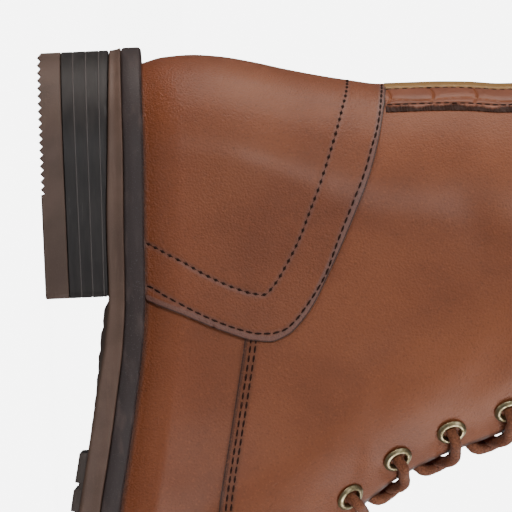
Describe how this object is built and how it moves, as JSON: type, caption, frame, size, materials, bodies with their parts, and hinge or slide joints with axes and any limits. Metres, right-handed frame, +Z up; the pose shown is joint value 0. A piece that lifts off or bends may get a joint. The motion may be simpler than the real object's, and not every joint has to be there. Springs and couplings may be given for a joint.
{
  "type": "lace up ankle boot",
  "caption": "Leather lace up ankle boot for the right foot with a hollow upper, lapped quarters, heel counter cover, storm welt, coved outsole and a stacked heel with a ribbed lift.",
  "frame": {"origin": "on the floor, under the middle of the boot's box", "axes": "+X towards the toe, +Y to the inner side of this right boot, +Z up"},
  "size_m": [0.304, 0.101, 0.1879],
  "materials": {
    "upper_leather": "burnished brown, soft gloss",
    "counter_leather": "burnished brown, soft gloss",
    "strip_leather": "embossed with a scale pattern",
    "tongue_leather": "smooth",
    "insole_leather": "natural, matte",
    "welt_leather": "black, matte, wheeled edge",
    "stack_leather": "black, waxed",
    "sole_rubber": "brown, satin",
    "lift_rubber": "brown, matte",
    "aged_brass": "aged",
    "lace_cotton": "braided"
  },
  "bodies": {
    "root": {"upper": "upper_leather", "counter": "counter_leather", "back_strip": "strip_leather", "tongue": "tongue_leather", "insole": "insole_leather", "welt": "welt_leather", "outsole": "sole_rubber", "heel_stack": "stack_leather", "top_lift": "lift_rubber", "eyelet_1_outer": "aged_brass", "eyelet_1_inner": "aged_brass", "eyelet_2_outer": "aged_brass", "eyelet_2_inner": "aged_brass", "eyelet_3_outer": "aged_brass", "eyelet_3_inner": "aged_brass", "eyelet_4_outer": "aged_brass", "eyelet_4_inner": "aged_brass", "eyelet_5_outer": "aged_brass", "eyelet_5_inner": "aged_brass", "eyelet_6_outer": "aged_brass", "eyelet_6_inner": "aged_brass", "lace_bar": "lace_cotton", "lace_cross_1": "lace_cotton", "lace_cross_2": "lace_cotton", "lace_cross_3": "lace_cotton", "lace_cross_4": "lace_cotton", "lace_cross_5": "lace_cotton"}
  },
  "joints": []
}
